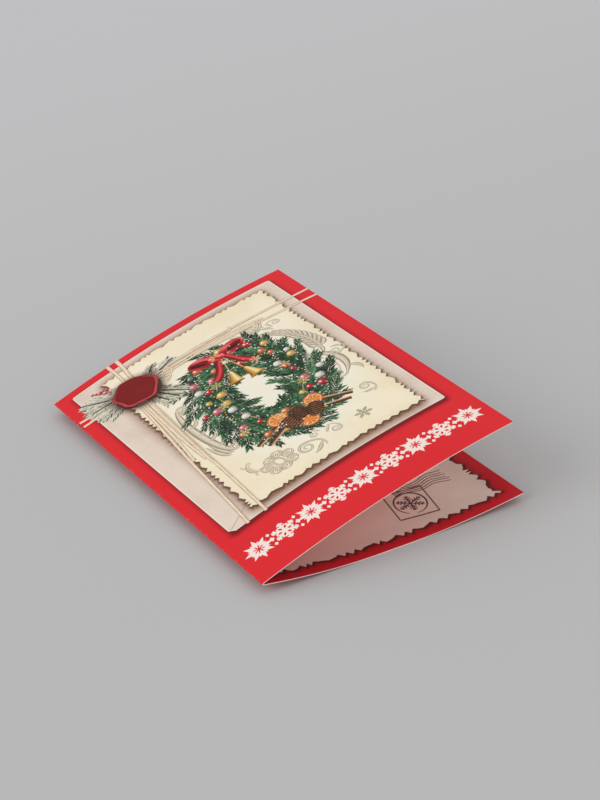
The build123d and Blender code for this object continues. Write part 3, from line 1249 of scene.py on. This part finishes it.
bow = new_plate()
for side in (-1, 1):
    # The two halves stand a little apart in height, so that they don't meet in one plane
    apart = 0.001 * side
    mirror = Vector((side, 1))
    tail = bent(*(BOW_CENTRE + mirror * Vector(step) for step in ((0, 0), (5, -4), (3, -10), (10, -15))))
    add_ribbon(bow, tail, taper(2.0, 4.4), TAIL_HEIGHT + 2 * apart, shade=0.5, steps=14, ink=SATIN)
    loop = BOW_CENTRE + mirror * Vector((7.2, 2.2))
    hollow = loop + mirror * Vector((1.6, 0.5))
    turn = math.radians(side * 17)
    add_disc(bow, loop, (7.0, 4.3), LOOP_HEIGHT + apart, 0.62, sides=28, turn=turn, ink=SATIN)
    add_disc(bow, hollow, (4.2, 1.9), HOLLOW_HEIGHT + apart, 0.12, sides=24, turn=turn, ink=SATIN)
    foot_of_bell = Vector((64.0 + side * 4.6, 117.0 - side * 1.2))
    top_of_bell = foot_of_bell + Vector((-side * 1.6, 9.0))
    cord, bell = straight(BOW_CENTRE, top_of_bell), straight(top_of_bell, foot_of_bell)
    add_ribbon(bow, cord, constant(0.55), BELL_CORD_HEIGHT + apart, shade=0.8, steps=8, ink=GILT)
    clapper = foot_of_bell + Vector((side * 0.3, -0.6))
    add_disc(bow, clapper, (1.2, 1.2), CLAPPER_HEIGHT, 0.35, sides=14, ink=GILT)
    add_ribbon(bow, bell, bell_width, BELL_HEIGHT + apart, shade=0.85, steps=14, ink=GILT)
    rim = foot_of_bell + Vector((side * 0.15, 0.2))
    turn = math.radians(side * 10)
    add_disc(bow, rim, (4.0, 0.75), BELL_RIM_HEIGHT + apart, 0.55, sides=20, turn=turn, ink=GILT)
add_disc(bow, BOW_CENTRE, (2.3, 2.5), KNOT_HEIGHT, 0.7, sides=20, ink=SATIN)
press(bow, "bow_and_bells", [satin_material(), gilt_material()])

# %% [markdown]
# Snow: gilded stars and pale dots on the wreath, and one grey star on the panel. A snow star is crossing
# strips with short barbs, and a petal star is a ring of lozenges. Both kinds are templates of reach 1, so
# the row of ornaments under the mat and the mark on the inside use them again at sizes of their own.

# %% Templates and ink for stars
ARMS = 6
PETALS = 8


def snow_template(name, thick, barbs):
    """A star of reach 1 with barbs at these shares of its arms, each with its own length."""
    plate = new_plate()
    for arm in range(ARMS):
        degrees = 90 + 360 * arm / ARMS
        ahead = on_circle(degrees)
        height = 0.0006 * arm
        add_ribbon(plate, straight((0, 0), ahead), constant(thick), height, steps=1)
        for share, length in barbs:
            for side in (-1, 1):
                tip = ahead * share + on_circle(degrees + side * 55, length)
                barb = straight(ahead * share, tip)
                add_ribbon(plate, barb, constant(thick * 0.8), height + 0.0003 * side, steps=1)
    return as_mesh(plate, name)


def petal_template(name, half_width, first, last):
    """A star of lozenge petals, from first to last of its reach."""
    plate = new_plate()
    for petal in range(PETALS):
        degrees = 90 + 360 * petal / PETALS
        centre = on_circle(degrees, (first + last) / 2)
        radii = ((last - first) / 2, half_width)
        add_disc(plate, centre, radii, 0.0004 * petal, sides=4, turn=math.radians(degrees))
    return as_mesh(plate, name)


def plain_ink(name, light, dark, scale=0.5):
    """A single ink, a little uneven."""
    material, point, colour_socket = printed_material(name)
    feed(colour_socket, mix(noise(point, scale, 3.0), light, dark))
    return material


SNOW_STAR = snow_template("snow_star", 0.1, ((0.45, 0.3), (0.72, 0.24)))
MARK_STAR = snow_template("mark_star", 0.12, ((0.3, 0.26), (0.52, 0.3), (0.76, 0.22)))
BOLD_STAR = snow_template("bold_star", 0.2, ((0.42, 0.36), (0.72, 0.26)))
PETAL_STAR = petal_template("petal_star", 0.16, 0.1, 1.0)
SHORT_PETALS = petal_template("short_petals", 0.1, 0.3, 0.72)
print("stars:", [len(mesh.polygons) for mesh in (SNOW_STAR, MARK_STAR, BOLD_STAR, PETAL_STAR)], "faces")

# %% Snow on the wreath, and the grey star
STARS_ON_WREATH, SNOW_DOTS = 9, 170
SNOW_HEIGHT, STAR_STEP, DOT_STEP = 0.1, 0.0005, 0.0001
GREY_STAR_HEIGHT = 0.03
GILDED, PALE = 0, 1
snow = new_plate()
for index in range(STARS_ON_WREATH):
    place = on_wreath(360 * (index + 0.35) / STARS_ON_WREATH, dice.choice((0.82, 1.2)))
    add_copy(snow, SNOW_STAR, place, dice.random(), 2.7, SNOW_HEIGHT + STAR_STEP * index, ink=GILDED)
for index in range(SNOW_DOTS):
    place = on_wreath(dice.uniform(0, 360), dice.uniform(0.62, 1.42))
    size = dice.uniform(0.22, 0.42)
    add_disc(snow, place, (size, size), SNOW_HEIGHT + DOT_STEP * index, sides=7, ink=PALE)
gilded_ink = plain_ink("gilded_ink", srgb(236, 220, 160), srgb(206, 176, 100), 0.8)
pale_ink = plain_ink("pale_ink", srgb(250, 250, 248), srgb(218, 226, 224), 0.8)
press(snow, "wreath_snow", [gilded_ink, pale_ink])

grey_stars = new_plate()
add_copy(grey_stars, MARK_STAR, (82.2, 53.6), math.radians(13.6), 3.8, GREY_STAR_HEIGHT)
grey_ink = plain_ink("grey_ink", srgb(176, 164, 138), srgb(150, 138, 112))
press(grey_stars, "panel_stars", [grey_ink])

# %% Row of ornaments under the mat
ROW_UP = 17.6
ROW_LEFT, ROW_RIGHT = 9.5, 108.5
ROW_COUNT = 9
STAR_HEIGHT, SHORT_PETAL_HEIGHT, LOZENGE_HEIGHT = 0.02, 0.026, 0.03
BOLD_STAR_SIZE, PETAL_STAR_SIZE = 5.6, 6.6
row = new_plate()
pitch = (ROW_RIGHT - ROW_LEFT) / (ROW_COUNT - 1)
for index in range(ROW_COUNT):
    place = Vector((ROW_LEFT + pitch * index, ROW_UP))
    if index % 2:
        add_copy(row, BOLD_STAR, place, 0.0, BOLD_STAR_SIZE, STAR_HEIGHT)
    else:
        add_copy(row, PETAL_STAR, place, 0.0, PETAL_STAR_SIZE, STAR_HEIGHT)
        add_copy(row, SHORT_PETALS, place, math.pi / 8, PETAL_STAR_SIZE, SHORT_PETAL_HEIGHT)
    if index:
        for upward in (-1, 0, 1):
            size = 0.85 if upward else 1.15
            middle = place + Vector((-pitch / 2, upward * 3.6))
            add_disc(row, middle, (size, size * 1.25), LOZENGE_HEIGHT, sides=4)
row_ink = plain_ink("row_ink", srgb(255, 241, 232), srgb(250, 228, 216))
press(row, "star_row", [row_ink])

# %% [markdown]
# Frosted sprigs fan out behind the seal, with bare stems and a few berries between them. Each sprig is
# laid twice: a dark copy below, shifted down to the right, and a pale one on top. That is how a print
# shows a shadow without any light, and it keeps the pale needles apart from each other.

# %% Frosted sprigs and berries
FROSTED_DARK = -0.45
DARK_SHIFT, DARK_HEIGHT = Vector((0.35, -0.5)), 0.05
SPRIG_HEIGHT, SPRIG_STEP = 0.066, 0.0018
STEM_HEIGHT, STEM_STEP = 0.114, 0.001
BERRY_HEIGHT, BERRY_STEP = 0.123, 0.0004
NEEDLES, BERRY = 0, 1
# Each sprig's direction from the seal in degrees, its size, and its shade
SPRIGS = (
    (146, 1.08, 0.12), (140, 0.92, 0.2), (152, 1.12, 0.2), (160, 1.04, 0.06), (168, 1.0, 0.22),
    (176, 0.96, 0.1), (184, 0.9, 0.24), (193, 0.86, 0.14), (203, 0.8, 0.24), (281, 0.98, 0.06),
    (288, 1.02, 0.16), (296, 1.06, 0.0), (303, 1.14, 0.14), (309, 1.06, 0.0), (14, 0.98, 0.1),
    (22, 0.94, 0.2), (36, 0.72, 0.12), (44, 0.64, 0.24), (124, 0.74, 0.2), (132, 0.88, 0.26),
)
# The bare dark stems that show between the needles, from the seal outwards
STEMS = (
    ((17.0, 159.2), (5.8, 168.2)), ((17.2, 156.8), (7.6, 158.0)), ((38.2, 160.0), (42.2, 164.2)),
    ((42.0, 157.2), (50.2, 160.2)), ((35.4, 143.4), (43.4, 132.4)), ((33.8, 143.2), (38.6, 132.6)),
    ((31.4, 142.8), (34.2, 134.0)),
)
# Each berry's place, and its radius
BERRIES = (
    (18.8, 166.0, 1.6), (20.4, 167.6, 1.1), (16.8, 167.6, 1.2), (18.6, 168.6, 1.0), (15.2, 168.8, 0.8),
    (13.9, 169.8, 0.8), (19.6, 163.6, 1.0),
)
sprigs = new_plate()
for index, (degrees, size, shade) in enumerate(SPRIGS):
    turn = math.radians(degrees + dice.uniform(-2, 2))
    place = SEAL_CENTRE + on_circle(degrees, 3.0)
    twig, height = FROSTED_TWIGS[index % 3], SPRIG_HEIGHT + SPRIG_STEP * index
    add_copy(sprigs, twig, place + DARK_SHIFT, turn, size, DARK_HEIGHT, FROSTED_DARK, ink=NEEDLES)
    add_copy(sprigs, twig, place, turn, size, height, shade + dice.uniform(-0.04, 0.04), ink=NEEDLES)
for index, (start, end) in enumerate(STEMS):
    height = STEM_HEIGHT + STEM_STEP * index
    add_ribbon(sprigs, straight(start, end), taper(1.0, 0.6), height, shade=0.02, steps=6, ink=NEEDLES)
frosted = needle_material(
    "frosted_print",
    (0.0, 54, 52, 38), (0.3, 104, 102, 82), (0.55, 176, 171, 152), (0.85, 228, 222, 205),
    by_seal=True,
)
for index, (x, y, size) in enumerate(BERRIES):
    colour = BAUBLE_COLOURS["rose" if index % 3 == 0 else "crimson"][0]
    add_disc(sprigs, (x, y), (size, size), BERRY_HEIGHT + BERRY_STEP * index, colour, sides=14, ink=BERRY)
press(sprigs, "frosted_sprigs", [frosted, ball_print])

# %% [markdown]
# The wax seal looks like a poured blob with a raised rim where the stamp pressed it flat. On this card it
# is printed like all the rest, so no wax is modelled. It is painted on one plate, by the distance from its
# middle: flat dark wax, a fine dark line, and a lit, rounded rim. The outline of the blob is a list of its
# reach at some angles, with a smooth swell between them.

# %% Wax seal
def wax_material():
    material, point, colour_socket = printed_material("wax_print")
    across, upward, _ = own_parts(point)
    radius = vector_calc("LENGTH", joined(across, upward))
    rings = ramp(
        radius,
        (0.0, 130, 22, 22), (0.8, 128, 20, 20), (0.845, 86, 10, 12), (0.875, 146, 28, 32),
        (0.94, 172, 40, 46), (1.0, 104, 14, 20),
    )
    sideways = times(calc("ABSOLUTE", across), 0.7)
    lit_side = minus(sideways, times(upward, 0.6))
    rings = mix(step_between(upward, 0.45, 0.85), rings, srgb(130, 22, 22))
    on_rim = times(step_between(radius, 0.85, 0.9), step_between(lit_side, 0.0, 0.8))
    on_rim = times(on_rim, plus(noise(point, 0.5, 2.0), 0.1))
    colour = mix(on_rim, rings, srgb(218, 78, 84))
    cloudy = times(step_between(noise(point, 0.2, 3.0), 0.35, 0.75), 0.2)
    feed(colour_socket, mix(cloudy, colour, srgb(104, 14, 26)))
    return material


# The blob's reach in millimetres at each of these angles, with a smooth swell from one to the next
SEAL_LOBES = (
    (10, 11.0), (24, 10.2), (39, 9.8), (56, 9.9), (71, 10.3), (90, 10.6), (109, 11.3), (122, 10.5),
    (136, 10.2), (149, 10.7), (162, 11.3), (173, 11.0), (187, 9.9), (199, 9.9), (218, 10.8), (232, 10.8),
    (247, 9.7), (265, 9.9), (289, 10.9), (297, 10.8), (307, 10.0), (320, 9.5), (334, 9.6), (348, 10.0),
    (360, 10.5), (370, 11.0),
)


def seal_reach(degrees):
    degrees = (degrees - SEAL_LOBES[0][0]) % 360 + SEAL_LOBES[0][0]
    for (low, before), (high, after) in zip(SEAL_LOBES, SEAL_LOBES[1:]):
        if degrees <= high:
            share = (1 - math.cos(math.pi * (degrees - low) / (high - low))) / 2
            return before + (after - before) * share
    return SEAL_LOBES[0][1]


SEAL_HEIGHT = 0.18
seal = new_plate()
blob = add_disc(seal, (0, 0), (1, 1), SEAL_HEIGHT, sides=96)
for vert in blob:
    vert.co.xy = SEAL_CENTRE + vert.co.xy * seal_reach(math.degrees(math.atan2(vert.co.y, vert.co.x)))
bmesh.ops.poke(seal, faces=seal.faces)
press(seal, "wax_seal", [wax_material()])

# %% [markdown]
# Inside, the back page carries a plain printed frame with a ring and a snow star, and wavy lines beside
# it, like a postmark that was struck by hand. So the frame stands at a slant, the ring is left open, and
# its line swells and thins. It is pressed on the sheet's other face by the same helper.

# %% Postmark on the inside
MARK_CENTRE = Vector((-80.9, 25.05))
MARK_TURN = Matrix.Rotation(math.radians(10.8), 2)
MARK_SIZE = Vector((16.5, 20.9))
MARK_FRAME_HEIGHT, MARK_RING_HEIGHT, MARK_STAR_HEIGHT, WAVE_HEIGHT = 0.02, 0.026, 0.03, 0.034
MARK_STEP = 0.001
WAVES = 6


def ring(t):
    return MARK_CENTRE + MARK_TURN @ (on_circle(-60 + 330 * t) * Vector((6.4, 8.1)))


mark = new_plate()
corners = [Vector((x, y)) * MARK_SIZE / 2 for x, y in ((-1, -1), (1, -1), (1, 1), (-1, 1))]
turned_corners = [MARK_CENTRE + MARK_TURN @ corner for corner in corners]
for index, corner in enumerate(turned_corners):
    line = straight(corner, turned_corners[(index + 1) % 4])
    width = constant(0.85 if index == 0 else 0.55)
    add_ribbon(mark, line, width, MARK_FRAME_HEIGHT + MARK_STEP * index, steps=12)
add_ribbon(mark, ring, lambda t: 0.4 + 0.45 * math.sin(math.pi * t), MARK_RING_HEIGHT, steps=48)
add_copy(mark, MARK_STAR, MARK_CENTRE, 0.2, 5.8, MARK_STAR_HEIGHT)
for index in range(WAVES):
    start = Vector((-79.0, 37.6 - 1.0 * index))
    end = Vector((-103.2 + 0.6 * (index % 2), 38.9 - 1.85 * index))

    def wave(t, start=start, end=end):
        return start.lerp(end, t) + Vector((0, 0.8)) * math.sin(11.6 * (t - 1) - 1.57)

    add_ribbon(mark, wave, lambda t: 0.52 - 0.1 * t, WAVE_HEIGHT + MARK_STEP * index, steps=40)
mark_ink = plain_ink("mark_ink", srgb(120, 76, 78), srgb(88, 52, 56), 0.7)
press(mark, "inside_mark", [mark_ink], side=-1)

# %% [markdown]
# The stage: a grey floor that runs on behind the card, with painted light that makes it a little lighter
# further back, an even sky, and two broad, low lamps. Soft shadows want a broad source, so the sky gives
# most of the light, and the lamps only make one side of each shadow a little deeper. The camera stands
# where the photograph was taken from, as it was fitted to the card's corners: its distance, its turns, and
# where the fold's near end falls in the picture.

# %% Floor
FLOOR_WIDTH = 6.0
floor_plate = bmesh.new()
bmesh.ops.create_grid(floor_plate, x_segments=1, y_segments=1, size=FLOOR_WIDTH)
floor = put_in_scene("floor", as_mesh(floor_plate, "floor"))
floor_paint, shader = new_material("floor_paint")
place = floor_paint.node_tree.nodes.new("ShaderNodeTexCoord").outputs["Object"]
# Painted light: the floor a little lighter further back.
behind = step_between(parts_of(place)[1], 0.0, 0.6)
feed(shader["Base Color"], mix(behind, srgb(198, 198, 198), srgb(206, 206, 208)))
shader["Roughness"].default_value = 0.9
shader["Specular IOR Level"].default_value = 0.0
floor.data.materials.append(floor_paint)

# %% Light
SKY_SHARE = 0.665
LAMP_SPREAD = math.radians(40)
# Name of a lamp, the way to it, and its share of the light on a surface that faces it
LAMPS = [
    ("side_lamp", Vector((-0.866, 0, 0.5)), 0.29),
    ("near_lamp", Vector((0, -0.866, 0.5)), 0.08),
]

world = bpy.data.worlds.new("soft_sky")
bpy.context.scene.world = world
world.use_nodes = True
sky = world.node_tree.nodes["Background"]
sky.inputs["Color"].default_value = (1, 1, 1, 1)
sky.inputs["Strength"].default_value = SKY_SHARE

for name, way, share in LAMPS:
    light = bpy.data.lights.new(name, "SUN")
    light.angle = LAMP_SPREAD
    light.energy = share * math.pi
    lamp = put_in_scene(name, light)
    lamp.rotation_mode = "QUATERNION"
    lamp.rotation_quaternion = way.to_track_quat("Z", "Y")
print("light: sky", SKY_SHARE, "and", [(name, share) for name, way, share in LAMPS])

# %% Camera
FRAME_WIDTH, FRAME_HEIGHT = 600, 800
FOCAL_PIXELS = 2389.8
YAW, PITCH, ROLL = math.radians(28.341), math.radians(26.93), math.radians(-4.144)
FOLD_END_RIGHT, FOLD_END_UP = -36.526, -184.267
DISTANCE = 882.71 * MM
SENSOR = 36.0

forward = Vector((math.sin(YAW) * math.cos(PITCH), math.cos(YAW) * math.cos(PITCH), -math.sin(PITCH)))
level_right = Vector((math.cos(YAW), -math.sin(YAW), 0))
level_up = level_right.cross(forward)
right = level_right * math.cos(ROLL) + level_up * math.sin(ROLL)
up = level_up * math.cos(ROLL) - level_right * math.sin(ROLL)
fold_end = Vector((FOLD_X, BOTTOM, FOLD_Z))
sideways = right * (FOLD_END_RIGHT * DISTANCE / FOCAL_PIXELS)
sideways += up * (FOLD_END_UP * DISTANCE / FOCAL_PIXELS)
camera_data = bpy.data.cameras.new("camera")
camera_data.sensor_width = SENSOR
camera_data.lens = FOCAL_PIXELS / max(FRAME_WIDTH, FRAME_HEIGHT) * SENSOR
camera = put_in_scene("camera", camera_data)
turned = Matrix((right, up, -forward)).transposed().to_4x4()
camera.matrix_world = Matrix.Translation(fold_end - forward * DISTANCE - sideways) @ turned
bpy.context.scene.camera = camera
bpy.context.scene.view_settings.view_transform = "Standard"
print(f"lens {camera_data.lens:.1f} mm, camera at {[round(v, 3) for v in camera.location]}")
